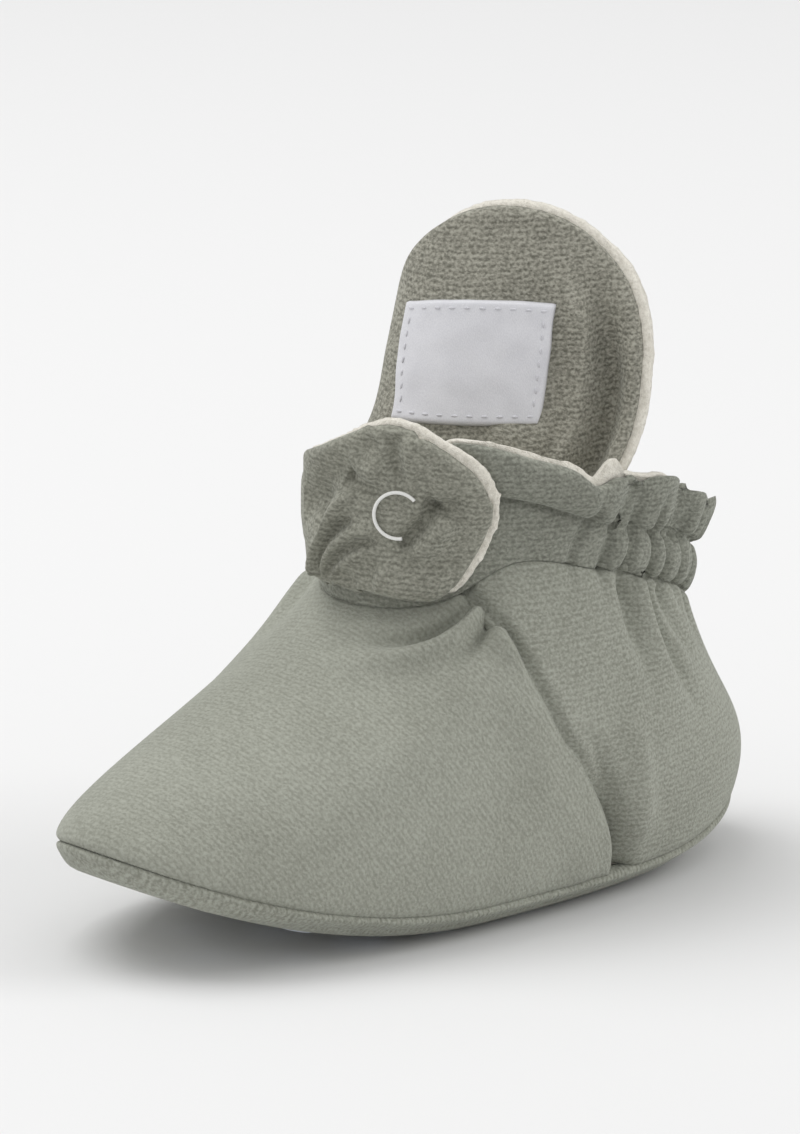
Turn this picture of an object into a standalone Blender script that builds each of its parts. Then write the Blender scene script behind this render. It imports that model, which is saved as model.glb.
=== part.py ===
"""Soft baby bootie slipper: padded sole with grip dots, one hollow upper, tongue and snap tab.

The toe points along -Y, the wearer's left is +X and the sole rests on z = 0. Lengths are metres.
"""

import math

import bmesh
import bpy
from mathutils import Vector

MM = 0.001
FULL_TURN = 360.0

# Whole height, from the floor to the tongue's top; the tables below give heights as shares of it
HEIGHT = 101.5 * MM

# Sole
SOLE_LENGTH = 120.0 * MM
BALL_WIDTH = 54.0 * MM
HEEL_WIDTH = 51.0 * MM
CORNER_POWER = 0.85  # below 1 fills out the oval's corners
SOLE_THICKNESS = 3.6 * MM
TOE_SPRING = 13.5 * MM
HEEL_ROLL = 5.0 * MM
TOE_BEND = -0.22  # where the toe spring starts, as a share of the half length
HEEL_BEND = 0.5

# Grip dots
LARGE_DOT = 9.0 * MM
SMALL_DOT = 6.5 * MM
DOT_THICKNESS = 0.6 * MM

# Upper
WALL = 2.6 * MM
SEAM_INSET = 0.8 * MM
COLLAR_LENGTH = 62.0 * MM
COLLAR_WIDTH = 42.0 * MM
COLLAR_SETBACK = 19.7 * MM  # centre of the ankle ring behind the sole's centre
CASING_LEAN = 0.8 * MM
FRONT_DROP = 0.108 * HEIGHT
GATHER_COUNT = 18
GATHER_DEPTH = 0.6 * MM
FRILL_DEPTH = 1.0 * MM
WALL_SWELL = 5.5 * MM  # most that the wall swells out over the sole
WALL_RISE = 14.0 * MM
INSTEP_REACH = 15.0 * MM  # how far the toe panel runs on in front of the ankle
FRILL_FLARE = 5.0 * MM
SEAM_GROOVE = 0.9 * MM
SEAM_BAND = 1.6 * MM

# Tongue
TONGUE_WALL = 2.8 * MM
TONGUE_FOOT = 0.488 * HEIGHT
TONGUE_WIDTH = 50.0 * MM
TONGUE_ROUND = 0.286 * HEIGHT  # height of the rounded top
TONGUE_LEAN = 20.0 * MM
TONGUE_SEAT = 52.0  # turn to which its foot lines the inside of the upper

# Snap tab and its fastener
TAB_WALL = 2.4 * MM
TAB_CLEARANCE = 0.6 * MM
TAB_START = -56.0
TAB_END = 58.0
TAB_ROUND = 26.0
SNAP_TURN = 26.0
SNAP_HEIGHT = 0.6 * HEIGHT
SNAP_DIAMETER = 7.5 * MM
SNAP_WIRE = 1.1 * MM

# Label and footbed
LABEL_WIDTH = 23.5 * MM
LABEL_HEIGHT = 18.5 * MM
LABEL_THICKNESS = 0.5 * MM
LABEL_MIDDLE = 0.773 * HEIGHT
LABEL_SHIFT = -1.5 * MM
INSOLE_THICKNESS = 1.8 * MM

GAP = 0.3 * MM

BODY_ROWS = 11
CASING_ROWS = 3
FRILL_ROWS = 3
VAMP_COLUMNS = 18
QUARTER_COLUMNS = 60
SOLE_COLUMNS = 40

SOLE_FLOOR = DOT_THICKNESS + GAP
UPPER_FLOOR = SOLE_FLOOR + SOLE_THICKNESS + GAP

# One row for each turn from the toe (0) round to the heel (180), the same on both sides:
# how far the wall swells out and rises as it leaves the sole, and how it comes into the ankle.
RAILS = [
    # turn, foot_out, foot_rise, ankle_out, ankle_drop: shares of WALL_SWELL, WALL_RISE,
    # INSTEP_REACH and WALL_RISE
    (0, 0.64, 0.36, 1.00, 0.86),
    (40, 0.55, 0.43, 0.60, 0.93),
    (80, 0.82, 0.86, 0.40, 0.93),
    (120, 0.82, 1.00, 0.27, 1.00),
    (180, 1.00, 0.86, 0.17, 0.86),
]

# Heights of the two elastic seams and of the frill's top, and how far the frill stands out.
COLLAR = [
    # turn, casing_low, casing_high, frill_top, frill_out: heights, and a share of FRILL_FLARE
    (0, 0.453, 0.611, 0.695, 0.00),
    (40, 0.468, 0.621, 0.709, 0.20),
    (62, 0.517, 0.611, 0.690, 0.56),
    (90, 0.488, 0.557, 0.631, 0.68),
    (130, 0.424, 0.498, 0.571, 1.00),
    (180, 0.360, 0.433, 0.512, 1.00),
]

# The front seam between toe panel and heel panel, from the sole up to the ankle.
FRONT_SEAM = [
    # level, turn
    (0.0, 106.0),
    (0.3, 99.0),
    (0.6, 82.0),
    (0.85, 58.0),
    (1.0, 47.0),
]

# Middle line of the tongue's face, from its foot inside the upper to its top.
TONGUE_LINE = [
    # height, across, back: a height, and shares of TONGUE_LEAN
    (0.483, 0.025, -0.150),
    (0.562, 0.075, 0.100),
    (0.670, 0.100, 0.500),
    (0.768, 0.075, 0.675),
    (0.887, 0.050, 0.860),
    (1.000, 0.025, 1.010),
]

# Way the tongue's face looks, from its right edge to its left, where a fold bends it back out.
TONGUE_FACE = [
    # across, turn
    (-1.0, -65.0),
    (-0.7, -25.0),
    (-0.4, 12.0),
    (0.0, 38.0),
    (0.4, 50.0),
    (0.58, 50.0),
    (0.72, 26.0),
    (1.0, 30.0),
]

# Lower and upper edge of the snap tab along its length, before its rounded end.
TAB = [
    # turn, low, high
    (-56, 0.507, 0.600),
    (-30, 0.493, 0.622),
    (0, 0.483, 0.680),
    (25, 0.468, 0.739),
    (58, 0.468, 0.719),
]

DOTS = [
    # across, along, size
    (-0.10, 0.79, LARGE_DOT),
    (0.32, 0.60, LARGE_DOT),
    (-0.02, 0.49, SMALL_DOT),
    (-0.44, 0.57, LARGE_DOT),
    (0.48, 0.36, SMALL_DOT),
    (0.22, 0.24, SMALL_DOT),
    (-0.18, 0.26, LARGE_DOT),
    (-0.58, 0.30, SMALL_DOT),
    (0.54, 0.09, LARGE_DOT),
    (0.02, -0.02, LARGE_DOT),
    (-0.50, 0.06, LARGE_DOT),
    (0.58, -0.15, SMALL_DOT),
    (0.30, -0.21, SMALL_DOT),
    (-0.10, -0.24, SMALL_DOT),
    (-0.50, -0.16, SMALL_DOT),
    (0.56, -0.36, LARGE_DOT),
    (0.12, -0.44, LARGE_DOT),
    (-0.36, -0.38, LARGE_DOT),
    (0.54, -0.56, SMALL_DOT),
    (0.22, -0.70, LARGE_DOT),
    (-0.20, -0.60, SMALL_DOT),
]


def lerp(a, b, t):
    return a + (b - a) * t


def smooth(t):
    t = min(1.0, max(0.0, t))
    return t * t * (3.0 - 2.0 * t)


def signed_power(value, power):
    return math.copysign(abs(value) ** power, value)


def read_table(table, key):
    """The columns of a table at a key, joined by a smooth curve through its rows."""
    if key <= table[0][0]:
        return table[0][1:]
    if key >= table[-1][0]:
        return table[-1][1:]
    i = max(n for n in range(len(table) - 1) if table[n][0] <= key)
    low, high = table[i], table[i + 1]
    span = high[0] - low[0]
    t = (key - low[0]) / span
    values = []
    for c in range(1, len(low)):
        rise = (high[c] - low[c]) / span
        before = (low[c] - table[i - 1][c]) / (low[0] - table[i - 1][0]) if i else 0.0
        more = i + 2 < len(table)
        after = (table[i + 2][c] - high[c]) / (table[i + 2][0] - high[0]) if more else 0.0
        start = (before + rise) / 2 * span if i else 0.0
        end = (after + rise) / 2 * span if more else 0.0
        values.append(
            low[c] * (2 * t**3 - 3 * t**2 + 1)
            + start * (t**3 - 2 * t**2 + t)
            + high[c] * (3 * t**2 - 2 * t**3)
            + end * (t**3 - t**2)
        )
    return values


def oval(turn, length, width_front, width_back, power):
    """A point on an oval round the origin and the way out of it; turn 0 is the toe end."""
    a = math.radians(turn)
    across = signed_power(math.sin(a), power)
    along = -signed_power(math.cos(a), power)
    half_width = lerp(width_front, width_back, (along + 1.0) / 2.0) / 2.0
    point = Vector((across * half_width, along * length / 2.0, 0.0))
    out = Vector((math.sin(a) * length, -math.cos(a) * (width_front + width_back) / 2.0, 0.0))
    return point, out.normalized()


def sole_edge(turn, inset=0.0):
    return oval(
        turn,
        SOLE_LENGTH - 2 * inset,
        BALL_WIDTH - 2 * inset,
        HEEL_WIDTH - 2 * inset,
        CORNER_POWER,
    )


def sole_lift(y):
    """Height of the sole's underside over its flat middle: toe spring and heel roll."""
    share = 2.0 * y / SOLE_LENGTH
    toe = max(0.0, TOE_BEND - share) / (TOE_BEND + 1.0)
    heel = max(0.0, share - HEEL_BEND) / (1.0 - HEEL_BEND)
    return TOE_SPRING * toe**2 + HEEL_ROLL * heel**2


def fold_turn(turn):
    """The same turn measured from the toe on either side, from 0 to 180."""
    turn = abs((turn + 180.0) % 360.0 - 180.0)
    return turn


def gather_share(turn):
    """0 in front, where the band lies flat, and 1 where the elastic gathers it."""
    return smooth((fold_turn(turn) - 62.0) / 22.0)


def right_front_share(turn):
    """1 where the snap tab leaves the right side's band and the edge under it drops away."""
    signed = (turn + 180.0) % 360.0 - 180.0
    return smooth((signed + 96.0) / 36.0) * smooth((44.0 - signed) / 34.0)


def collar_point(turn, level):
    """A point of the ankle band: level 0 and 1 are its two seams, 2 is the frill's top."""
    low, high, top, flare_share = read_table(COLLAR, fold_turn(turn))
    low, high, top = low * HEIGHT, high * HEIGHT, top * HEIGHT
    frill_out = flare_share * FRILL_FLARE
    drop = right_front_share(turn)
    top -= FRONT_DROP * drop
    high -= FRONT_DROP * 0.6 * drop
    frill_out *= 1.0 - drop
    point, out = oval(turn, COLLAR_LENGTH, COLLAR_WIDTH, COLLAR_WIDTH, 1.0)
    point.y += COLLAR_SETBACK
    wave = math.cos(math.radians(turn) * GATHER_COUNT) * gather_share(turn)
    if level <= 1.0:
        swell = CASING_LEAN * level + GATHER_DEPTH * wave * math.sin(math.pi * level)
        point += out * swell
        point.z = lerp(low, high, level)
        return point, out
    rise = level - 1.0
    half_wave = math.sin(math.radians(turn) * GATHER_COUNT / 2.0) * gather_share(turn)
    flare = CASING_LEAN + frill_out * rise**1.3 + FRILL_DEPTH * half_wave * rise
    point += out * flare
    point.z = lerp(high, top, rise)
    return point, out


def wall_point(turn, level):
    """A point of the outer wall from the sole seam (level 0) up to the ankle band (level 1)."""
    foot_out, foot_rise, ankle_out, ankle_drop = read_table(RAILS, fold_turn(turn))
    foot, out_low = sole_edge(turn, SEAM_INSET)
    foot.z = UPPER_FLOOR + sole_lift(foot.y)
    ankle, out_high = collar_point(turn, 0.0)
    up = Vector((0.0, 0.0, 1.0))
    first = foot + out_low * foot_out * WALL_SWELL + up * foot_rise * WALL_RISE
    second = ankle + out_high * ankle_out * INSTEP_REACH - up * ankle_drop * WALL_RISE
    t = level
    return (
        foot * (1 - t) ** 3
        + first * 3 * t * (1 - t) ** 2
        + second * 3 * t**2 * (1 - t)
        + ankle * t**3
    )


def upper_point(turn, level):
    """The whole outer face of the upper: level 0 to 1 is the wall, 1 to 3 the ankle band."""
    if level <= 1.0:
        return wall_point(turn, level)
    return collar_point(turn, level - 1.0)[0]


def upper_normal(turn, level):
    step = 0.5
    up = min(level + 0.02, 3.0)
    down = max(level - 0.02, 0.0)
    along = upper_point(turn + step, level) - upper_point(turn - step, level)
    rise = upper_point(turn, up) - upper_point(turn, down)
    return along.cross(rise).normalized()


def level_at_height(turn, height):
    """The level of the outer face at a turn where it reaches a height."""
    low, high = 0.0, 3.0
    for _ in range(30):
        middle = (low + high) / 2.0
        if upper_point(turn, middle).z < height:
            low = middle
        else:
            high = middle
    return (low + high) / 2.0


def seam_turn(level):
    return read_table(FRONT_SEAM, min(level, 1.0))[0]


def upper_columns(level):
    """Turns of the upper's columns at a level, each with its depth into the front seam's groove."""
    seam = seam_turn(level)
    reach = upper_point(seam + 1.0, level) - upper_point(seam, level)
    band = SEAM_BAND / reach.length
    depth = smooth((0.98 - level) / 0.25)
    columns = []
    for i in range(VAMP_COLUMNS + 1):
        columns.append((lerp(-seam + band, seam - band, i / VAMP_COLUMNS), 0.0))
    columns.append((seam, depth))
    for i in range(QUARTER_COLUMNS + 1):
        columns.append((lerp(seam + band, FULL_TURN - seam - band, i / QUARTER_COLUMNS), 0.0))
    columns.append((FULL_TURN - seam, depth))
    return columns


def finish_object(name, mesh, colour, roughness):
    obj = bpy.data.objects.new(name, mesh)
    parts.objects.link(obj)
    material = bpy.data.materials.new(name)
    material.use_nodes = True
    shader = material.node_tree.nodes["Principled BSDF"]
    shader.inputs["Base Color"].default_value = (*colour, 1.0)
    shader.inputs["Roughness"].default_value = roughness
    mesh.materials.append(material)
    mesh.shade_smooth()
    return obj


def solidify(obj, thickness, offset):
    """Gives an open sheet its wall; offset -1 grows it inwards and 1 outwards."""
    wall = obj.modifiers.new("wall", "SOLIDIFY")
    wall.thickness = thickness
    wall.offset = offset
    wall.use_rim = True
    return obj


def loft(name, rings, closed, caps=()):
    """A mesh skinned over rows of points, with a fan to each cap point as (row, point)."""
    bm = bmesh.new()
    rows = [[bm.verts.new(p) for p in ring] for ring in rings]
    count = len(rows[0])
    spans = count if closed else count - 1
    for low, high in zip(rows, rows[1:]):
        for i in range(spans):
            j = (i + 1) % count
            bm.faces.new((low[i], low[j], high[j], high[i]))
    for row, point in caps:
        pole = bm.verts.new(point)
        ring = rows[row]
        for i in range(count):
            bm.faces.new((ring[i], ring[(i + 1) % count], pole))
    if caps:
        bmesh.ops.recalc_face_normals(bm, faces=bm.faces)
    mesh = bpy.data.meshes.new(name)
    bm.to_mesh(mesh)
    bm.free()
    return mesh


def slab(name, inset, floor, thickness, edge_rows, colour, roughness):
    """A closed pad with the sole's outline that follows its lift, from its underside to its top."""
    spread = (0.15, 0.3, 0.45, 0.6, 0.74, 0.87)
    rings = []

    def ring(shrink, height, share=1.0):
        points = []
        for i in range(SOLE_COLUMNS):
            point, _ = sole_edge(FULL_TURN * i / SOLE_COLUMNS, inset + shrink)
            point *= share
            point.z = floor + height + sole_lift(point.y)
            points.append(point)
        return points

    for share in spread:
        rings.append(ring(edge_rows[0][0], 0.0, share))
    for shrink, height in edge_rows:
        rings.append(ring(shrink, height))
    for share in reversed(spread):
        rings.append(ring(edge_rows[-1][0], thickness, share))
    bottom = Vector((0.0, 0.0, floor))
    top = Vector((0.0, 0.0, floor + thickness))
    mesh = loft(name, rings, True, [(0, bottom), (-1, top)])
    return finish_object(name, mesh, colour, roughness)


def build_sole():
    edge = [
        (1.8 * MM, 0.0),
        (0.4 * MM, 0.4 * MM),
        (0.0, 1.2 * MM),
        (0.0, 1.9 * MM),
        (0.3 * MM, 2.9 * MM),
        (1.2 * MM, SOLE_THICKNESS),
    ]
    return slab("sole", 0.0, SOLE_FLOOR, SOLE_THICKNESS, edge, (0.42, 0.43, 0.37), 0.95)


def build_insole():
    edge = [(0.0, 0.0), (0.0, INSOLE_THICKNESS * 0.6), (0.8 * MM, INSOLE_THICKNESS)]
    inset = SEAM_INSET + WALL + GAP + 0.6 * MM
    floor = SOLE_FLOOR + SOLE_THICKNESS + 1.5 * GAP
    return slab("insole", inset, floor, INSOLE_THICKNESS, edge, (0.86, 0.83, 0.77), 0.95)


def build_upper():
    levels = [(i / (BODY_ROWS - 1)) ** 1.15 for i in range(BODY_ROWS)]
    levels += [1.0 + i / CASING_ROWS for i in range(1, CASING_ROWS + 1)]
    levels += [2.0 + i / FRILL_ROWS for i in range(1, FRILL_ROWS + 1)]
    rings = []
    for level in levels:
        ring = []
        for turn, depth in upper_columns(level):
            point = upper_point(turn, level)
            if depth > 0.0:
                point -= upper_normal(turn, level) * SEAM_GROOVE * depth
            ring.append(point)
        rings.append(ring)
    mesh = loft("upper", rings, True)
    upper = finish_object("upper", mesh, (0.42, 0.43, 0.37), 0.95)
    return solidify(upper, WALL, -1.0)


def build_grip_dots():
    for number, (across, along, size) in enumerate(DOTS, 1):
        x = across * BALL_WIDTH / 2.0
        y = along * SOLE_LENGTH / 2.0
        front, back = sole_lift(y - size / 2.0), sole_lift(y + size / 2.0)
        bm = bmesh.new()
        bmesh.ops.create_cone(
            bm,
            cap_ends=True,
            segments=16,
            radius1=size / 2.0 - 0.35 * MM,
            radius2=size / 2.0,
            depth=DOT_THICKNESS,
        )
        name = f"grip_dot_{number:02d}"
        mesh = bpy.data.meshes.new(name)
        bm.to_mesh(mesh)
        bm.free()
        dot = finish_object(name, mesh, (0.72, 0.74, 0.76), 0.5)
        dot.location = (x, y, (front + back + DOT_THICKNESS) / 2.0)
        dot.rotation_euler = (math.atan2(back - front, size), 0.0, 0.0)


def inner_face(turn, level, clearance):
    """A point inside the upper's wall, clear of it."""
    return upper_point(turn, level) - upper_normal(turn, level) * (WALL + clearance)


def tongue_half_width(height):
    """Half the tongue's width along its face: straight sides under a rounded top."""
    start = HEIGHT - TONGUE_ROUND
    share = max(0.0, height - start) / TONGUE_ROUND
    foot = lerp(0.8, 1.0, smooth((height / HEIGHT - 0.493) / 0.177))
    return TONGUE_WIDTH / 2.0 * foot * max(0.0, 1.0 - share**1.7) ** 0.62


def tongue_bend(reach):
    """Where the face has come, in plan, a distance along it from the tongue's middle line."""
    steps = 24
    spot = Vector((0.0, 0.0, 0.0))
    for i in range(steps):
        across = reach * (i + 0.5) / steps / (TONGUE_WIDTH / 2.0)
        turn = math.radians(read_table(TONGUE_FACE, across)[0])
        spot += Vector((math.cos(turn), math.sin(turn), 0.0)) * (reach / steps)
    return spot


def tongue_point(reach, height):
    """A point of the tongue's face, whose foot lines the inside of the upper."""
    across, back = (v * TONGUE_LEAN for v in read_table(TONGUE_LINE, height / HEIGHT))
    loose = Vector((across, back, height)) + tongue_bend(reach)
    free = smooth((height / HEIGHT - 0.522) / 0.187)
    if free == 1.0:
        return loose
    turn = TONGUE_SEAT * reach / (TONGUE_WIDTH / 2.0)
    seated = inner_face(turn, level_at_height(turn, height), 3.0 * GAP)
    return seated.lerp(loose, free)


def tongue_normal(reach, height):
    step = 0.4 * MM
    along = tongue_point(reach + step, height) - tongue_point(reach - step, height)
    rise = tongue_point(reach, height + step) - tongue_point(reach, height - step)
    return along.cross(rise).normalized()


def build_tongue():
    rows = 15
    columns = 18
    rings = []
    for i in range(rows + 1):
        share = i / rows
        height = lerp(TONGUE_FOOT, HEIGHT - 0.1 * MM, 1.0 - (1.0 - share) ** 1.4)
        half = tongue_half_width(height)
        rings.append([tongue_point(lerp(-half, half, c / columns), height) for c in range(columns + 1)])
    mesh = loft("tongue", rings, False)
    tongue = finish_object("tongue", mesh, (0.34, 0.34, 0.29), 0.95)
    return solidify(tongue, TONGUE_WALL, -1.0)


def build_label():
    rows = 5
    columns = 8
    rings = []
    for i in range(rows + 1):
        height = LABEL_MIDDLE + LABEL_HEIGHT * (i / rows - 0.5)
        ring = []
        for c in range(columns + 1):
            reach = LABEL_SHIFT + LABEL_WIDTH * (c / columns - 0.5)
            ring.append(tongue_point(reach, height) + tongue_normal(reach, height) * 1.4 * GAP)
        rings.append(ring)
    mesh = loft("label", rings, False)
    label = finish_object("label", mesh, (0.62, 0.62, 0.64), 0.8)
    return solidify(label, LABEL_THICKNESS, 1.0)


def tab_point(turn, share):
    """A point of the tab's outer face; share runs from its lower edge, 0, to its upper edge, 1."""
    low, high = (v * HEIGHT for v in read_table(TAB, turn))
    middle = (low + high) / 2.0
    half = (high - low) / 2.0
    beyond = max(0.0, turn - (TAB_END - TAB_ROUND)) / TAB_ROUND
    half *= math.sqrt(max(0.0, 1.0 - beyond**2.4))
    height = middle + half * (2.0 * share - 1.0)
    level = level_at_height(turn, min(height, collar_point(turn, 2.0)[0].z - 0.5 * MM))
    face = upper_point(turn, level)
    _, out = oval(turn, COLLAR_LENGTH, COLLAR_WIDTH, COLLAR_WIDTH, 1.0)
    face.z = height
    return face + out * (TAB_CLEARANCE + TAB_WALL)


def build_closure_tab():
    rows = 8
    columns = 22
    rings = []
    for i in range(rows + 1):
        ring = []
        for c in range(columns + 1):
            turn = lerp(TAB_START, TAB_END - 0.05, 1.0 - (1.0 - c / columns) ** 1.3)
            ring.append(tab_point(turn, i / rows))
        rings.append(ring)
    mesh = loft("closure_tab", rings, False)
    tab = finish_object("closure_tab", mesh, (0.42, 0.43, 0.37), 0.95)
    return solidify(tab, TAB_WALL, -1.0)


def build_snap_ring():
    low, high = (v * HEIGHT for v in read_table(TAB, SNAP_TURN))
    share = (SNAP_HEIGHT - low) / (high - low)
    step = 0.02
    along = tab_point(SNAP_TURN + 1.0, share) - tab_point(SNAP_TURN - 1.0, share)
    rise = tab_point(SNAP_TURN, share + step) - tab_point(SNAP_TURN, share - step)
    out = along.cross(rise).normalized()
    bpy.ops.mesh.primitive_torus_add(
        major_radius=(SNAP_DIAMETER - SNAP_WIRE) / 2.0,
        minor_radius=SNAP_WIRE / 2.0,
        major_segments=24,
        minor_segments=8,
    )
    ring = bpy.context.object
    ring.name = "snap_ring"
    ring.data.name = "snap_ring"
    bpy.context.collection.objects.unlink(ring)
    parts.objects.link(ring)
    ring.location = tab_point(SNAP_TURN, share) + out * (GAP + SNAP_WIRE / 2.0)
    ring.rotation_euler = out.to_track_quat("Z", "Y").to_euler()
    material = bpy.data.materials.new("snap_ring")
    material.use_nodes = True
    shader = material.node_tree.nodes["Principled BSDF"]
    shader.inputs["Base Color"].default_value = (0.8, 0.8, 0.78, 1.0)
    shader.inputs["Roughness"].default_value = 0.35
    ring.data.materials.append(material)
    return ring


parts = None


def main():
    global parts
    for obj in list(bpy.data.objects):
        bpy.data.objects.remove(obj)
    parts = bpy.data.collections.new("bootie_slipper")
    bpy.context.scene.collection.children.link(parts)
    build_sole()
    build_grip_dots()
    build_insole()
    build_upper()
    build_tongue()
    build_label()
    build_closure_tab()
    build_snap_ring()


main()
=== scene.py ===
import math
from collections import namedtuple
from functools import lru_cache

import bmesh
import bpy
from mathutils import Matrix, Vector, kdtree, noise


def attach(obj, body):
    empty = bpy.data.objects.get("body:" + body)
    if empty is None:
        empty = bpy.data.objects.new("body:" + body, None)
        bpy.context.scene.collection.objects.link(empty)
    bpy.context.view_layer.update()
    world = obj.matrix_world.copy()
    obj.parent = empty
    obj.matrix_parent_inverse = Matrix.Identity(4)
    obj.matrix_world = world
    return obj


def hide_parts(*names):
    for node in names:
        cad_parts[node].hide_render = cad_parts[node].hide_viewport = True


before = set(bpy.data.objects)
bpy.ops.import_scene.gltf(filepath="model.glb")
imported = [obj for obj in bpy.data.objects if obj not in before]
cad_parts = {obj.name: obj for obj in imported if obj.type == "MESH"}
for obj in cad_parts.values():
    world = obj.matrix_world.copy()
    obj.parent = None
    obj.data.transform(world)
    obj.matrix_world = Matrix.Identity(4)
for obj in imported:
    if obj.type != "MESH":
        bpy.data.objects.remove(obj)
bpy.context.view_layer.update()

MM = 0.001
UP = Vector((0.0, 0.0, 1.0))

# Sizes of the shoe in millimetres, most of them the same as its solids have. A turn is an
# angle round the shoe in degrees, 0 at the toe and growing towards the side that faces the
# camera. A level is a share of a sheet's rise.
SOLE_LENGTH = 120.0
BALL_WIDTH = 54.0
HEEL_WIDTH = 51.0
CORNER_POWER = 0.85
SOLE_THICKNESS = 3.6
TOE_SPRING = 13.5
HEEL_ROLL = 5.0
TOE_BEND = -0.06  # shares of the half length at which the toe spring and
HEEL_BEND = 0.5  # the heel's roll begin
SOLE_FLOOR = 0.9  # the underside stands on its grip dots
UPPER_FLOOR = 4.8
WALL_SINK = 0.4  # the wall's foot lies this far in the sole's seam
SEAM_INSET = 0.6
SEAM_LAP = 3.5  # degrees of the heel panel that lie under the toe panel
HEEL_TOP = 1.06  # level to which the heel panel runs up under the band
COLLAR_LENGTH = 62.0
COLLAR_WIDTH = 42.0
COLLAR_SETBACK = 19.7
BAND_START = -47.0  # turn of the band's own join, under the tab
BAND_LEAN = 0.8
CASING_BULGE = 1.1
FRONT_DROP = 11.0  # how much lower the frill is under the tab
GATHER_START = 88.0  # turn at which the elastic's gathers set in
GATHER_FADE = 10.0
STITCHES = (84.0, 276.0)  # turns between which the elastic's stitch line shows
LINING_INSET = 2.9
LINING_TOP_INSET = 1.5
TONGUE_FOOT = 49.5
TONGUE_TOP = 101.3
TONGUE_WIDTH = 50.0
TONGUE_ROUND = 29.0
TONGUE_SEAT = 52.0  # turn that the tongue's foot reaches on either side of the collar
TONGUE_INSET = 3.5
TAB_START = -58.0
TAB_TIP = 53.0
TAB_DEGREE = 0.6  # millimetres that a degree of turn makes at the tab's tip
LABEL_FOOT = 69.0
LABEL_TOP = 85.9
LABEL_LIFT = 0.85  # over the tongue's face
STITCH_LIFT = 0.88
STITCH_HALF = (0.5, 0.2, 0.16)  # along, across and up
STITCH_INSET = 0.07  # share of the label's sides
PAD_RIM = 3.0  # how far in a pad's outline keeps its shape before it shrinks to the middle
TOE_FULLNESS = 1.3  # how much the sole's edge is lowered where the toe is lifted
FOOTBED_INSET = 4.0
FOOTBED_FLOOR = SOLE_FLOOR + SOLE_THICKNESS + 0.5
DOT_SINK = 0.5  # how far a dot sinks into the sole where the toe or heel is lifted

# Thicknesses of the cloths
VELOUR_WALL = 1.0
FLEECE_WALL = 1.1
TAB_WALL = 1.1
TAB_FLEECE_WALL = 1.4
TONGUE_WALL = 1.2
TONGUE_FLEECE_WALL = 1.5
LABEL_WALL = 0.5

# How finely sheets are welded and folds are traced, in millimetres, and how many times its
# width a fold is felt on either side
WELD = 0.02
TRACE_STEP = 0.35
FOLD_REACH = 2.5

# The handles that bend the wall's rails: out and up at the foot, out and down at the ankle.
RAILS = [
    # turn, foot_out, foot_rise, ankle_out, ankle_drop
    (0, 2.9, 6.2, 15.0, 12.0),
    (40, 2.2, 6.0, 9.0, 13.0),
    (80, 4.5, 12.0, 6.0, 13.0),
    (120, 4.5, 14.0, 4.0, 14.0),
    (180, 5.5, 12.0, 2.5, 12.0),
]

# Heights of the ankle band's two stitch lines.
BAND = [
    # turn, low, high
    (0, 46.0, 62.0),
    (40, 47.5, 63.0),
    (62, 52.5, 62.0),
    (90, 49.5, 56.5),
    (130, 43.0, 50.5),
    (180, 36.5, 44.0),
]

# The frill's height, how far its top leans out and its lip swells.
FRILL = [
    # turn, top, lean, puff
    (0, 70.5, 0.0, 0.0),
    (40, 71.0, 0.4, 0.4),
    (52, 70.4, 0.8, 1.6),
    (66, 68.0, 1.4, 2.8),
    (84, 65.0, 1.8, 2.8),
    (97, 63.2, 2.2, 1.0),
    (112, 61.8, 2.4, 0.8),
    (130, 57.2, 2.2, 0.8),
    (155, 53.6, 2.8, 1.2),
    (180, 51.6, 4.6, 2.2),
]

# Where the toe panel ends on either side.
FRONT_SEAM = [
    # level, turn
    (0.0, 106.0),
    (0.3, 99.0),
    (0.6, 82.0),
    (0.85, 58.0),
    (1.0, 47.0),
]

# The tongue's middle line from its foot to its top.
TONGUE_LINE = [
    # height, across, back
    (49.0, 0.5, -3.0),
    (57.0, 1.5, 2.0),
    (68.0, 2.0, 10.0),
    (78.0, 1.5, 13.5),
    (90.0, 1.0, 17.2),
    (101.0, 0.5, 20.2),
]

# The way the tongue's face runs in plan: degrees off the shoe's own across.
TONGUE_FACE = [
    # across, direction
    (-1.0, -65.0),
    (-0.7, -25.0),
    (-0.4, 12.0),
    (0.0, 38.0),
    (0.4, 52.0),
    (0.58, 54.0),
    (0.72, 30.0),
    (1.0, 28.0),
]

# The tab's outline: its lower and upper edge's heights.
TAB = [
    # turn, low, high
    (-58, 52.5, 63.0),
    (-30, 50.4, 66.2),
    (-6, 49.0, 69.0),
    (3, 48.8, 70.6),
    (14, 48.6, 72.8),
    (23, 48.0, 73.7),
    (31, 47.6, 72.8),
    (37, 47.8, 71.0),
    (42, 49.4, 69.2),
    (47, 53.0, 67.0),
    (50.5, 56.2, 64.6),
    (53, 58.8, 62.0),
]

# The label's side edges as reach on the tongue.
LABEL = [
    # up, left, right
    (0.0, -12.4, 10.2),
    (0.5, -13.6, 9.9),
    (1.0, -14.0, 9.2),
]

# A pad's section from under its middle round its edge to its top; shrink is 0 at the edge and
# 100 at the middle.
SOLE_PROFILE = [
    # share, shrink, height
    (0.0, 100.0, 0.0),
    (0.12, 66.0, 0.0),
    (0.24, 34.0, 0.0),
    (0.33, 12.0, 0.0),
    (0.37, 8.0, 0.3),
    (0.41, 4.6, 0.9),
    (0.45, 2.4, 1.7),
    (0.49, 1.1, 2.4),
    (0.53, 0.5, 3.0),
    (0.56, 0.8, 3.6),
    (0.61, 2.4, 4.0),
    (0.68, 8.0, 3.7),
    (0.80, 40.0, 3.6),
    (1.0, 100.0, 3.6),
]

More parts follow.
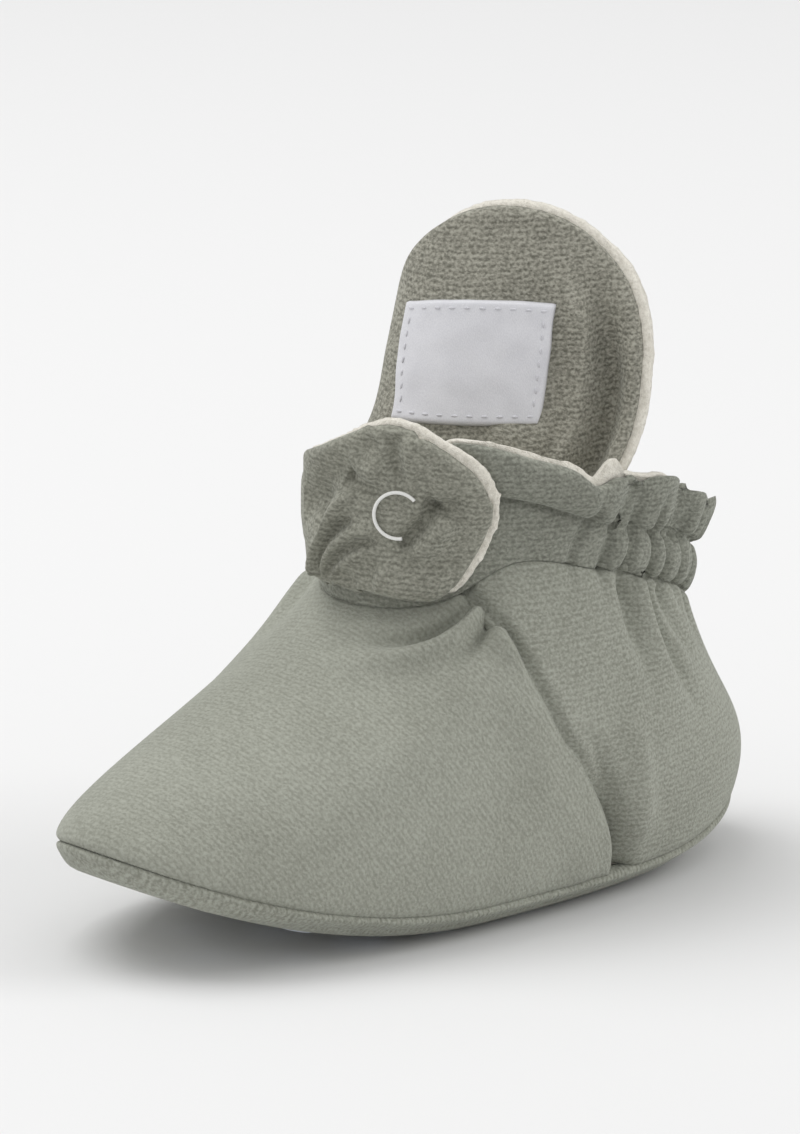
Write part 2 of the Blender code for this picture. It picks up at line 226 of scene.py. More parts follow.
FOOTBED_PROFILE = [
    # share, shrink, height
    (0.0, 100.0, 0.0),
    (0.2, 40.0, 0.0),
    (0.36, 2.0, 0.0),
    (0.42, 0.0, 0.3),
    (0.47, 0.0, 1.0),
    (0.52, 0.8, 1.8),
    (0.62, 6.0, 2.0),
    (0.8, 50.0, 2.0),
    (1.0, 100.0, 2.0),
]

# A grip dot's section from the middle of its face to its edge in the sole.
DOT_PROFILE = [
    # share of the radius, height
    (0.0, 0.0),
    (0.35, 0.0),
    (0.6, 0.02),
    (0.8, 0.10),
    (0.92, 0.28),
    (0.99, 0.6),
    (1.0, 1.7),
]

# The grip dots: places as shares of the half width and half length.
DOTS = [
    # across, along, diameter
    (-0.10, 0.79, 9.0),
    (0.32, 0.60, 9.0),
    (-0.02, 0.49, 6.5),
    (-0.44, 0.57, 9.0),
    (0.48, 0.36, 6.5),
    (0.22, 0.24, 6.5),
    (-0.18, 0.26, 9.0),
    (-0.58, 0.30, 6.5),
    (0.54, 0.09, 9.0),
    (0.02, -0.02, 9.0),
    (-0.50, 0.06, 9.0),
    (0.58, -0.15, 6.5),
    (0.30, -0.21, 6.5),
    (-0.10, -0.24, 6.5),
    (-0.50, -0.16, 6.5),
    (0.56, -0.36, 9.0),
    (0.12, -0.44, 9.0),
    (-0.36, -0.38, 9.0),
    (0.54, -0.56, 6.5),
    (0.22, -0.70, 9.0),
    (-0.20, -0.60, 6.5),
]

# Folds pressed into the cloth. Each has its depth (in is below 0), its width, the shares of its
# length over which it fades in and out, and its line in the sheet's own places.
TOE_FOLDS = [
    # depth, width, begin, end, line as (turn, level)
    (3.1, 2.2, 0.15, 0.7, [(52, 0.96), (47, 0.885), (38, 0.85), (21, 0.83), (0, 0.82)]),
    (-3.3, 1.4, 0.1, 0.8, [(51, 0.975), (44, 0.915), (34, 0.895), (20, 0.90), (4, 0.91)]),
    (-3.2, 1.1, 0.1, 0.7, [(55, 0.92), (54.5, 0.86), (53, 0.81), (47, 0.76)]),
    (1.7, 2.0, 0.2, 0.5, [(59, 0.83), (61, 0.79), (66, 0.74), (74, 0.66)]),
    (-0.9, 2.4, 0.3, 0.7, [(-49, 0.95), (-44, 0.88), (-34, 0.82), (-20, 0.78)]),
    (0.8, 3.0, 0.3, 0.7, [(-55, 0.88), (-50, 0.80), (-40, 0.74)]),
    (-0.7, 5.0, 0.4, 0.5, [(72, 0.62), (76, 0.45), (84, 0.28)]),
    (0.7, 6.0, 0.4, 0.5, [(36, 0.72), (48, 0.52), (60, 0.35)]),
]

HEEL_FOLDS = [
    # depth, width, begin, end, line as (turn, level)
    (-2.3, 1.8, 0.5, 0.0, [(88, 0.56), (95, 0.44), (100.5, 0.30), (104.5, 0.16), (107.5, 0.0)]),
    (1.2, 2.6, 0.4, 0.3, [(99, 0.60), (104, 0.44), (107.5, 0.28), (110, 0.08)]),
    (-2.0, 1.7, 0.15, 0.8, [(98, 1.0), (100, 0.84), (105, 0.70), (109, 0.58)]),
    (-2.5, 1.6, 0.15, 0.8, [(109, 1.0), (111, 0.88), (118, 0.74), (124, 0.58), (127, 0.46)]),
    (1.3, 1.7, 0.15, 0.8, [(104, 1.0), (106, 0.86), (112, 0.72), (117, 0.60)]),
    (-1.7, 1.5, 0.15, 0.8, [(117, 1.0), (119, 0.90), (126, 0.78), (131, 0.66)]),
    (-1.3, 1.6, 0.15, 0.8, [(137, 1.0), (137, 0.88), (141, 0.74)]),
    (-1.4, 1.8, 0.15, 0.8, [(160, 1.0), (160, 0.88), (158, 0.72)]),
    (-1.4, 1.8, 0.15, 0.8, [(182, 1.0), (183, 0.86), (184, 0.70)]),
    (-1.7, 1.8, 0.15, 0.8, [(205, 1.0), (204, 0.86), (199, 0.70)]),
    (-1.7, 1.7, 0.15, 0.8, [(228, 1.0), (227, 0.88), (221, 0.72)]),
    (-2.2, 1.7, 0.15, 0.8, [(243, 1.0), (242, 0.88), (236, 0.70), (232, 0.56)]),
    (-2.0, 1.7, 0.15, 0.8, [(259, 1.0), (258, 0.86), (253, 0.70), (249, 0.58)]),
    (-1.3, 1.6, 0.15, 0.8, [(271, 1.0), (270, 0.90), (266, 0.78)]),
    (-1.8, 2.0, 0.5, 0.0, [(272, 0.56), (265, 0.44), (260, 0.30), (256, 0.16), (253, 0.0)]),
]

# The elastic's pleats: turns at the top and at the foot of the band, and depth.
PLEATS = [
    # top, foot, depth
    (84, 79, 0.9),
    (93, 90, 1.3),
    (101, 98, 1.5),
    (110, 109, 1.6),
    (117, 117, 1.5),
    (127, 127, 1.5),
    (139, 137, 1.5),
    (149, 148, 1.4),
    (159, 160, 1.5),
    (170, 171, 1.3),
    (181, 182, 1.5),
    (192, 193, 1.4),
    (204, 205, 1.5),
    (215, 216, 1.4),
    (226, 228, 1.5),
    (236, 236, 1.4),
    (243, 243, 1.5),
    (251, 251, 1.4),
    (258, 259, 1.4),
    (267, 268, 1.1),
    (276, 278, 0.8),
]

# The frill's ruffles: turn of each valley at the top and at its foot, and depth.
RUFFLES = [
    # top, foot, depth
    (99, 95, 1.5),
    (120, 124, 1.7),
    (141, 139, 1.6),
    (162, 161, 1.6),
    (182, 183, 1.6),
    (203, 202, 1.4),
    (224, 224, 1.6),
    (245, 243, 1.5),
    (265, 264, 1.2),
]

TAB_FOLDS = [
    # depth, width, begin, end, line as (turn, height)
    (-1.4, 1.2, 0.2, 0.3, [(25, 72.5), (25.5, 69.0), (27.5, 65.2)]),
    (1.0, 1.8, 0.3, 0.3, [(29, 72.5), (29.5, 69.0), (31, 66.0)]),
    (-1.4, 1.4, 0.2, 0.3, [(6, 65.5), (12, 64.6), (21, 63.6)]),
    (0.9, 1.8, 0.3, 0.3, [(8, 68.0), (14, 67.2), (21, 66.5)]),
    (-0.9, 1.5, 0.3, 0.4, [(19, 72.0), (16, 70.0), (12, 67.6)]),
    (-1.7, 1.2, 0.2, 0.4, [(33, 62.8), (39, 62.2), (46, 62.8)]),
    (-2.0, 1.1, 0.2, 0.2, [(38, 62.4), (33, 59.2), (27, 56.0)]),
    (1.9, 1.7, 0.2, 0.3, [(41, 60.8), (36, 57.2), (29, 53.8)]),
    (-0.6, 1.0, 0.3, 0.4, [(26, 55.0), (35, 54.2), (45, 53.0)]),
    (-2.2, 2.6, 0.3, 0.3, [(-18, 60.0), (-8, 60.5), (1, 59.6)]),
    (1.4, 1.0, 0.2, 0.2, [(-8, 48.8), (-7, 52.0), (1, 58.0), (6, 61.8), (12, 63.0)]),
    (-1.4, 0.8, 0.2, 0.2, [(-5, 49.0), (-3, 53.0), (4, 57.6), (11, 59.6)]),
    (1.2, 1.0, 0.2, 0.3, [(-4, 49.2), (2, 54.0), (12, 57.6), (20, 57.9)]),
    (-1.2, 0.8, 0.2, 0.2, [(-2, 49.2), (3, 52.6), (12, 56.0), (20, 56.6)]),
    (0.9, 0.9, 0.2, 0.3, [(1, 49.4), (6, 52.2), (14, 54.9), (21, 55.6)]),
    (-1.1, 1.3, 0.2, 0.3, [(4, 51.4), (8, 50.4), (12, 49.6)]),
    (-2.0, 2.6, 0.3, 0.4, [(-14, 61.0), (-2, 64.0), (8, 66.6), (17, 67.6)]),
    (1.2, 2.4, 0.2, 0.3, [(18, 51.4), (30, 50.4), (42, 51.0)]),
    (-1.2, 2.2, 0.3, 0.3, [(-44, 52.0), (-42, 58.0), (-43, 64.0)]),
    (0.9, 2.2, 0.3, 0.3, [(-34, 50.5), (-32, 57.0), (-33, 64.0)]),
]

TONGUE_FOLDS = [
    # depth, width, begin, end, line as (reach, height)
    (
        1.7, 1.9, 0.5, 0.0,
        [(5.5, 92.0), (9.5, 88.5), (13.0, 83.5), (15.0, 77.0), (15.4, 70.0), (16, 60)],
    ),
    (
        -3.3, 1.9, 0.6, 0.0,
        [(12.0, 92.0), (15.0, 87.0), (17.6, 81.0), (19.2, 75.0), (19.6, 69.0), (20, 60)],
    ),
    (0.7, 2.5, 0.4, 0.0, [(22.6, 84.0), (23.4, 77.0), (23.6, 70.0), (23.5, 62.0)]),
    (1.1, 4.2, 0.3, 0.3, [(4.0, 66.5), (9.0, 67.0), (13.0, 66.0)]),
    (-0.6, 4.0, 0.4, 0.4, [(-16.0, 90.0), (-8.0, 93.0), (2.0, 95.0)]),
]


def lerp(a, b, t):
    return a + (b - a) * t


def smooth(t):
    t = min(1.0, max(0.0, t))
    return t * t * (3.0 - 2.0 * t)


def signed_power(value, power):
    return math.copysign(abs(value) ** power, value)


def read_table(table, key):
    """The columns of a table at a key, joined by a smooth curve through its rows."""
    if key <= table[0][0]:
        return table[0][1:]
    if key >= table[-1][0]:
        return table[-1][1:]
    i = max(n for n in range(len(table) - 1) if table[n][0] <= key)
    low, high = table[i], table[i + 1]
    span = high[0] - low[0]
    t = (key - low[0]) / span
    values = []
    for c in range(1, len(low)):
        rise = (high[c] - low[c]) / span
        before = (low[c] - table[i - 1][c]) / (low[0] - table[i - 1][0]) if i else 0.0
        more = i + 2 < len(table)
        after = (table[i + 2][c] - high[c]) / (table[i + 2][0] - high[0]) if more else 0.0
        start = (before + rise) / 2 * span if i else 0.0
        end = (after + rise) / 2 * span if more else 0.0
        values.append(
            low[c] * (2 * t**3 - 3 * t**2 + 1)
            + start * (t**3 - 2 * t**2 + t)
            + high[c] * (3 * t**2 - 2 * t**3)
            + end * (t**3 - t**2)
        )
    return values


def oval(turn, length, width_front, width_back, power):
    """A point on an oval round the origin and the way out of it; turn 0 is the toe end."""
    a = math.radians(turn)
    across = signed_power(math.sin(a), power)
    along = -signed_power(math.cos(a), power)
    half_width = lerp(width_front, width_back, (along + 1.0) / 2.0) / 2.0
    point = Vector((across * half_width, along * length / 2.0, 0.0))
    out = Vector((math.sin(a) * length, -math.cos(a) * (width_front + width_back) / 2.0, 0.0))
    return point, out.normalized()


def sole_edge(turn, inset=0.0):
    """A point of the sole's outline, or of a line that far inside it, and the way out of it."""
    sizes = (SOLE_LENGTH, BALL_WIDTH, HEEL_WIDTH)
    return oval(turn, *(size - 2 * inset for size in sizes), CORNER_POWER)


def sole_lift(y):
    """Height of the sole's underside over its flat middle: toe spring and heel roll."""
    share = 2.0 * y / SOLE_LENGTH
    toe = max(0.0, TOE_BEND - share) / (TOE_BEND + 1.0)
    heel = max(0.0, share - HEEL_BEND) / (1.0 - HEEL_BEND)
    return TOE_SPRING * toe**2 + HEEL_ROLL * heel**2


def fold_turn(turn):
    """A turn folded onto one side of the shoe, from 0 to 180."""
    return abs((turn + 180.0) % 360.0 - 180.0)


def hump(value, middle, width):
    """1 at the middle, falling away softly on both sides."""
    return math.exp(-(((value - middle) / width) ** 2))


Band = namedtuple("Band", "low high top lean puff point out")


@lru_cache(maxsize=None)
def band_sizes(turn):
    """The ankle band at a turn: its stitch lines, the frill's table, its place and way out."""
    low, high = read_table(BAND, fold_turn(turn))
    top, lean, puff = read_table(FRILL, fold_turn(turn))
    # Under the tab the casing and the frill are lower, and the frill stands straight.
    signed = (turn + 180.0) % 360.0 - 180.0
    drop = smooth((signed + 100.0) / 36.0) * smooth((44.0 - signed) / 34.0)
    high -= FRONT_DROP * 0.6 * drop
    top -= FRONT_DROP * drop
    lean *= 1.0 - drop
    puff *= 1.0 - drop
    # The frill's edge dips at its valleys, and once more where the elastic begins.
    if fold_turn(turn) > 60.0:
        for valley, _, depth in RUFFLES:
            top -= 0.4 * depth * hump(turn % 360.0, valley, 4.5)
    top -= 2.0 * hump(turn % 360.0, 83.5, 5.0)
    point, out = oval(turn, COLLAR_LENGTH, COLLAR_WIDTH, COLLAR_WIDTH, 1.0)
    point.y += COLLAR_SETBACK
    return Band(low, high, top, lean, puff, point, out)


def gathers(turn):
    """How far the elastic gathers the band at a turn, from 0 in front to 1 behind."""
    return smooth((fold_turn(turn) - GATHER_START) / GATHER_FADE)


def band_point(turn, level, inset=0.0):
    """A point of the ankle band: level 0 and 1 are its two stitch lines, 2 is the frill's top."""
    band = band_sizes(turn)
    gathered = gathers(turn)
    if level <= 1.0:
        bulge = CASING_BULGE * gathered * math.sin(math.pi * level)
        point = band.point + band.out * (BAND_LEAN * level + bulge - inset)
        point.z = lerp(band.low, band.high, level)
        return point
    roll = math.radians(lerp(-90.0, 90.0, level - 1.0))
    swell = max(0.0, math.cos(roll)) ** lerp(0.7, 1.8, gathered)
    rise = (1.0 + signed_power(math.sin(roll), 0.85)) / 2.0
    stand = band.lean * rise ** lerp(1.0, 1.7, gathered) + band.puff * swell
    point = band.point + band.out * (BAND_LEAN + stand - inset)
    point.z = lerp(band.high, band.top, rise)
    return point


def wall_point(turn, level, inset=0.0):
    """A point of the wall from the sole seam (level 0) up to the ankle band (level 1)."""
    foot_out, foot_rise, ankle_out, ankle_drop = read_table(RAILS, fold_turn(turn))
    foot, out_low = sole_edge(turn, SEAM_INSET + inset)
    foot.z = UPPER_FLOOR - WALL_SINK + sole_lift(foot.y)
    ankle = band_point(turn, 0.0, inset)
    out_high = band_sizes(turn).out
    first = foot + out_low * foot_out + UP * foot_rise
    second = ankle + out_high * (ankle_out - 0.2 * inset) - UP * (ankle_drop + 0.6 * inset)
    t = level
    return (
        foot * (1 - t) ** 3
        + first * 3 * t * (1 - t) ** 2
        + second * 3 * t**2 * (1 - t)
        + ankle * t**3
    )


def upper_point(turn, level):
    """A point of the whole upper: wall up to level 1, casing to 2, frill to 3."""
    return wall_point(turn, level) if level <= 1.0 else band_point(turn, level - 1.0)


def seam_turn(level):
    """Where the front seam runs at a level of the wall."""
    return read_table(FRONT_SEAM, min(level, 1.0))[0]


def tongue_half_width(height):
    """Half the tongue's width along its straight sides, a little less at its foot."""
    return TONGUE_WIDTH / 2.0 * lerp(0.8, 1.0, smooth((height - 50.0) / 11.0))


@lru_cache(maxsize=None)
def tongue_bend(reach):
    """Where the face has come, in plan, a distance along it from the tongue's middle line."""
    steps = 30
    spot = Vector((0.0, 0.0, 0.0))
    for i in range(steps):
        across = reach * (i + 0.5) / steps / (TONGUE_WIDTH / 2.0)
        turn = math.radians(read_table(TONGUE_FACE, across)[0])
        spot += Vector((math.cos(turn), math.sin(turn), 0.0)) * (reach / steps)
    return spot


@lru_cache(maxsize=None)
def tongue_line(height):
    return read_table(TONGUE_LINE, height)


def tongue_point(reach, height):
    """A point of the tongue's face, whose foot lines the inside of the upper."""
    across, back = tongue_line(height)
    loose = Vector((across, back, height)) + tongue_bend(reach)
    free = smooth((height - 54.5) / 8.5)
    if free == 1.0:
        return loose
    turn = TONGUE_SEAT * reach / (TONGUE_WIDTH / 2.0)
    point, out = oval(turn, COLLAR_LENGTH, COLLAR_WIDTH, COLLAR_WIDTH, 1.0)
    stand = BAND_LEAN * 0.5 - TONGUE_INSET
    seated = point + Vector((0.0, COLLAR_SETBACK, height)) + out * stand
    return seated.lerp(loose, free)


def tab_point(turn, height):
    """A point of the tab's face, which lies round the front of the ankle band."""
    band = band_sizes(turn)
    share = min(1.0, max(0.0, (height - band.low) / (band.high - band.low)))
    rise = min(1.0, max(0.0, (height - band.high) / (band.top - band.high)))
    # It stands off the band more at its snapped end than at its sewn root.
    near = smooth((turn - 28.0) / 24.0)
    root = smooth((turn + 44.0) / 42.0)
    below = max(0.0, band.low - height)
    stand = lerp(0.6, 3.0, root) + 1.3 * near * smooth((height - 56.0) / 8.0)
    off = BAND_LEAN * share + band.lean * rise + stand + 0.5 * below
    return band.point + band.out * off + UP * height


def placed(spot):
    """A spot given in millimetres, in the frame's metres."""
    return spot * MM


def stood(spot, turn):
    """The transform that sets a small thing made in millimetres at a spot on the shoe."""
    return Matrix.Translation(placed(spot)) @ turn @ Matrix.Diagonal((MM, MM, MM, 1.0))


def trace(line, locate):
    """Close points along a fold's line, in metres, as the sheet's own places give them."""
    rows = [(float(i), *place) for i, place in enumerate(line)]
    ends = [placed(locate(*line[i])) for i in range(len(line))]
    length = sum((b - a).length for a, b in zip(ends, ends[1:])) / MM
    count = max(6, int(length / TRACE_STEP))
    steps = [(len(line) - 1) * i / count for i in range(count + 1)]
    return [placed(locate(*read_table(rows, step))) for step in steps]


def press(bm, folds, locate, back=0.0):
    """Pushes folds into a sheet along its smooth normals, and sets it back behind them."""
    bm.normal_update()
    verts = list(bm.verts)
    pushes = {}
    for depth, width, begin, end, line in folds:
        points = trace(line, locate)
        tree = kdtree.KDTree(len(points))
        for i, point in enumerate(points):
            tree.insert(point, i)
        tree.balance()
        reach = FOLD_REACH * width * MM
        low = [min(p[c] for p in points) - reach for c in range(3)]
        high = [max(p[c] for p in points) + reach for c in range(3)]
        last = len(points) - 1
        for vert in verts:
            x, y, z = vert.co
            if low[0] < x < high[0] and low[1] < y < high[1] and low[2] < z < high[2]:
                _, index, distance = tree.find(vert.co)
                share = index / last
                strength = 1.0
                if begin:
                    strength *= smooth(share / begin)
                if end:
                    strength *= smooth((1.0 - share) / end)
                push = depth * strength * math.exp(-((distance / MM / width) ** 2))
                pushes[vert] = pushes.get(vert, 0.0) + push
    for vert in verts:
        vert.co += vert.normal * (pushes.get(vert, 0.0) - back) * MM


def roughen(bm, amount, size):
    """Small unevenness of a soft surface, so many millimetres high and wide."""
    bm.normal_update()
    for vert in bm.verts:
        lift = noise.noise(vert.co / (size * MM))
        vert.co += vert.normal * lift * amount * MM


def tuck(bm, start, depth):
    """Sinks a sheet's rows beyond a share of its rise under the sheet that it is sewn to."""
    step = 0.015  # the share of its rise over which it sinks
    weave = bm.loops.layers.uv["weave"]
    bm.normal_update()
    for vert in bm.verts:
        beyond = vert.link_loops[0][weave].uv.y - start
        vert.co -= vert.normal * depth * smooth(beyond / step + 0.4) * MM


def round_edge(bm, radius, keep=None):
    """Rolls a sheet's open edge back over a radius."""
    bm.normal_update()
    border = [v for v in bm.verts if v.is_boundary and (keep is None or keep(v.co / MM))]
    tree = kdtree.KDTree(len(border))
    for i, vert in enumerate(border):
        tree.insert(vert.co, i)
    tree.balance()
    for vert in bm.verts:
        distance = tree.find(vert.co)[2] / MM / radius
        if distance < 1.0:
            roll = 1.0 - math.sqrt(1.0 - (1.0 - distance) ** 2)
            vert.co -= vert.normal * radius * MM * roll


def cloth_grid(columns, rows, place, closed=False):
    """A sheet of cloth whose points are placed by their shares across and up."""
    bm = bmesh.new()
    weave = bm.loops.layers.uv.new("weave")
    bmesh.ops.create_grid(bm, x_segments=columns, y_segments=rows, size=0.5, calc_uvs=True)
    for face in bm.faces:
        for loop in face.loops:
            loop[weave].uv = (loop.vert.co.x + 0.5, loop.vert.co.y + 0.5)
    for vert in bm.verts:
        vert.co = placed(place(vert.co.x + 0.5, vert.co.y + 0.5))
    if closed:
        bmesh.ops.remove_doubles(bm, verts=bm.verts, dist=WELD * MM)
    return bm


def join(bm, other):
    """Adds a second mesh to a first, sewn together where their edges meet."""
    mesh = bpy.data.meshes.new("other")
    other.to_mesh(mesh)
    other.free()
    bm.from_mesh(mesh)
    bpy.data.meshes.remove(mesh)
    bmesh.ops.remove_doubles(bm, verts=bm.verts, dist=WELD * MM)


def piece(name, bm, material, nodes=(), wall=0.0):
    """Makes a piece of the shoe from its mesh, gives it its finish and hangs it on the frame."""
    mesh = bpy.data.meshes.new(name)
    bm.to_mesh(mesh)
    bm.free()
    mesh.materials.append(material)
    mesh.shade_smooth()
    obj = bpy.data.objects.new(name, mesh)
    bpy.context.collection.objects.link(obj)
    if wall:
        solid = obj.modifiers.new("wall", "SOLIDIFY")
        solid.thickness = wall * MM
        solid.offset = -1.0
        solid.use_rim = True
    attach(obj, "root")
    if nodes:
        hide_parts(*nodes)
    return obj


class Socket:
    """A node's output that can be used in sums, differences, products and quotients."""

    def __init__(self, recipe, link):
        self.recipe = recipe
        self.link = link

    def math(self, operation, *values):
        return self.recipe.node("ShaderNodeMath", {"operation": operation}, values)

    def __add__(self, other):
        return self.math("ADD", self, other)

    __radd__ = __add__

    def __sub__(self, other):
        return self.math("SUBTRACT", self, other)

    def __rsub__(self, other):
        return self.math("SUBTRACT", other, self)

    def __mul__(self, other):
        return self.math("MULTIPLY", self, other)

    __rmul__ = __mul__

    def __truediv__(self, other):
        return self.math("DIVIDE", self, other)

    def __rtruediv__(self, other):
        return self.math("DIVIDE", other, self)


class Finish:
    """A material under construction, with its Principled shader."""

    def __init__(self, name):
        self.material = bpy.data.materials.new(name)
        self.material.use_nodes = True
        self.tree = self.material.node_tree
        self.shader = self.tree.nodes["Principled BSDF"]

    def plug(self, socket, value):
        if isinstance(value, Socket):
            self.tree.links.new(value.link, socket)
        else:
            socket.default_value = value

    def node(self, kind, settings=None, inputs=(), output=0):
        """Adds a node: its settings, then the values or links of its sockets, then one output."""
        node = self.tree.nodes.new(kind)
        for key, value in (settings or {}).items():
            setattr(node, key, value)
        pairs = inputs.items() if isinstance(inputs, dict) else enumerate(inputs)
        for key, value in pairs:
            self.plug(node.inputs[key], value)
        return Socket(self, node.outputs[output])

    def place(self, units, turn=(0.0, 0.0, 0.0)):
        """Places on the object in its own frame, turned, with so many units to a millimetre."""
        if isinstance(units, float):
            units = (units,) * 3
        scale = [unit / MM for unit in units]
        spot = self.node("ShaderNodeTexCoord", output="Object")
        turned = {"Vector": spot, "Rotation": turn}
        aligned = self.node("ShaderNodeMapping", {"vector_type": "TEXTURE"}, turned)
        return self.node("ShaderNodeMapping", None, {"Vector": aligned, "Scale": scale})

    def speckle(self, spot, detail=2.0, roughness=0.5):
        values = {"Vector": spot, "Scale": 1.0, "Detail": detail, "Roughness": roughness}
        return self.node("ShaderNodeTexNoise", None, values)

    def mix(self, share, first, second):
        """Two colours mixed by a share; 6, 7 and output 2 are the Mix node's colour sockets."""
        values = {"Factor": share, 6: first, 7: second}
        return self.node("ShaderNodeMix", {"data_type": "RGBA"}, values, output=2)

    def fit(self, value, low, high, to_low=0.0, to_high=1.0):
        return self.node("ShaderNodeMapRange", None, [value, low, high, to_low, to_high])

    def bump(self, height, distance, strength=1.0):
        values = {"Height": height, "Distance": distance * MM, "Strength": strength}
        self.plug(self.shader.inputs["Normal"], self.node("ShaderNodeBump", None, values))

    def set(self, **values):
        """Fills sockets of the shader, base_color for Base Color, and gives the material."""
        for key, value in values.items():
            self.plug(self.shader.inputs[key.replace("_", " ").title()], value)
        return self.material


def tone(red, green, blue):
    """A colour as the eye names it, 0 to 255, in the renderer's linear numbers."""
    def linear(value):
        value /= 255.0
        return value / 12.92 if value <= 0.04045 else ((value + 0.055) / 1.055) ** 2.4

    return (linear(red), linear(green), linear(blue), 1.0)


def velour(name, tilt, pitch, contrast, light=(167, 169, 158), dark=(124, 125, 114)):
    """Brushed knit velour: short dashes of pile in rows, uneven nap and a soft sheen."""
    f = Finish(name)
    turn = (math.radians(tilt[0]), math.radians(tilt[1]), 0.0)
    rows = f.place(1.0, turn)
    height = f.node("ShaderNodeSeparateXYZ", None, [rows], output=2)
    drift = f.speckle(f.place(0.45, turn), detail=1.0)
    phase = (height / pitch + drift * 0.9) * (2 * math.pi)
    wave = f.node("ShaderNodeMath", {"operation": "SINE"}, [phase])
    dashes = f.fit(f.speckle(f.place((1.9, 1.9, 2.6), turn), detail=1.5), 0.36, 0.66)
    fuzz = f.speckle(f.place(5.5))
    pile = (wave * 0.5 + 0.5) * 0.3 + dashes * 0.7
    nap = f.fit(f.speckle(f.place(0.07), detail=3.0), 0.3, 0.7, -1.0, 1.0)
    shade = pile * contrast + (1.0 - contrast) * 0.75 + fuzz * 0.25 - 0.12 + nap * 0.10
    base = f.mix(f.fit(shade, 0.05, 0.95), tone(*dark), tone(*light))
    f.bump(pile * 0.7 + fuzz * 0.5, 0.16 * contrast + 0.05, 0.75)
    f.shader.inputs["Sheen Weight"].default_value = 0.22
    f.shader.inputs["Sheen Roughness"].default_value = 0.45
    f.shader.inputs["Sheen Tint"].default_value = (0.9, 0.92, 0.86, 1.0)
    f.shader.inputs["Specular IOR Level"].default_value = 0.12
    return f.set(base_color=base, roughness=0.92)


def fleece_finish():
    f = Finish("fleece")
    curl = f.speckle(f.place(1.5), detail=3.0, roughness=0.6)
    fine = f.speckle(f.place(6.0))
    share = f.fit(curl * 0.7 + fine * 0.3, 0.3, 0.65)
    base = f.mix(share, tone(205, 200, 187), tone(239, 235, 224))
    f.bump(curl + fine * 0.4, 0.35, 0.8)
    f.shader.inputs["Sheen Weight"].default_value = 0.3
    f.shader.inputs["Sheen Roughness"].default_value = 0.5
    f.shader.inputs["Specular IOR Level"].default_value = 0.1
    return f.set(base_color=base, roughness=0.95)


def satin_finish():
    f = Finish("label_satin")
    thread = f.speckle(f.place((9.0, 9.0, 3.0)))
    cloud = f.speckle(f.place(0.25), detail=1.0)
    share = f.fit(thread * 0.7 + cloud * 0.3, 0.35, 0.65)
    base = f.mix(share, tone(208, 208, 213), tone(222, 222, 226))
    f.bump(thread, 0.05, 0.5)
    return f.set(base_color=base, roughness=0.62)


def thread_finish():
    f = Finish("label_thread")
    twist = f.speckle(f.place(7.0), detail=1.0)
    return f.set(base_color=f.mix(twist, tone(176, 176, 182), tone(226, 226, 230)), roughness=0.6)


def silicone_finish():
    f = Finish("grip_silicone")
    cloud = f.speckle(f.place(0.5))
    grain = f.speckle(f.place(6.0), detail=1.0)
    f.bump(grain, 0.03, 0.4)
    return f.set(base_color=f.mix(cloud, tone(188, 194, 203), tone(204, 208, 216)), roughness=0.48)


def snap_finish():
    f = Finish("snap_plastic")
    cloud = f.speckle(f.place(0.8), detail=1.0)
    f.shader.inputs["Coat Roughness"].default_value = 0.2
    return f.set(base_color=f.mix(cloud, tone(226, 226, 222), tone(240, 240, 237)), roughness=0.34)


toe_velour = velour("toe_velour", (-58.0, 0.0), 0.85, 0.55)
heel_velour = velour("heel_velour", (0.0, 0.0), 0.88, 0.7)
# Painted shade: the tab's velour is darker than the toe's and heel's, for the little light that
# falls on the upright tab.
tab_velour_painted_shade = velour("tab_velour_painted_shade", (0.0, 6.0), 0.86, 0.75, (162, 162, 150), (100, 100, 90))
# Painted shade: the casing's and frill's velour is darker than the heel's, for the shade below the
# frill's lip and beside the tab.
band_velour_painted_shade = velour("band_velour_painted_shade", (0.0, 3.0), 0.88, 0.8, (152, 154, 143), (105, 106, 97))
tongue_velour = velour("tongue_velour", (8.0, 0.0), 0.83, 0.9, (172, 170, 158), (104, 103, 93))
sole_velour = velour("sole_velour", (-90.0, 0.0), 0.86, 0.8)
fleece = fleece_finish()
satin = satin_finish()
white_thread = thread_finish()
silicone = silicone_finish()
snap_plastic = snap_finish()


SEAM_LEVELS = [0.0, 0.15, 0.3, 0.45, 0.6, 0.75, 0.88, 1.0]
SEAM_FOOT = FRONT_SEAM[0][1]


def seam_line(side, lap=0.0):
    """The front seam on one side, or a line so many degrees nearer the toe."""
    return [(side * (seam_turn(level) - lap) % 360.0, level) for level in SEAM_LEVELS]


def level_line(start, end, level, steps=50):
    """A line round the shoe at one level."""
    return [(lerp(start, end, i / steps), level) for i in range(steps + 1)]


def toe_panel():
    def place(across, level):
        seam = seam_turn(level)
        return upper_point(lerp(-seam, seam, across), level)

    bm = cloth_grid(300, 110, place)
    folds = list(TOE_FOLDS)
    folds.append((-1.8, 1.0, 0.0, 0.0, seam_line(1.0)))
    folds.append((-1.8, 1.0, 0.0, 0.0, [(turn - 360.0, level) for turn, level in seam_line(-1.0)]))
    for side in (1.0, -1.0):
        inner = [(side * (seam_turn(level) - 7.0), level) for level in SEAM_LEVELS[:6]]
        folds.append((0.45, 3.0, 0.1, 0.3, inner))
    folds.append((-0.4, 0.7, 0.0, 0.0, level_line(-SEAM_FOOT, SEAM_FOOT, 0.0, 24)))
    press(bm, folds, upper_point)
    piece("toe_panel", bm, toe_velour, ["upper"], VELOUR_WALL)


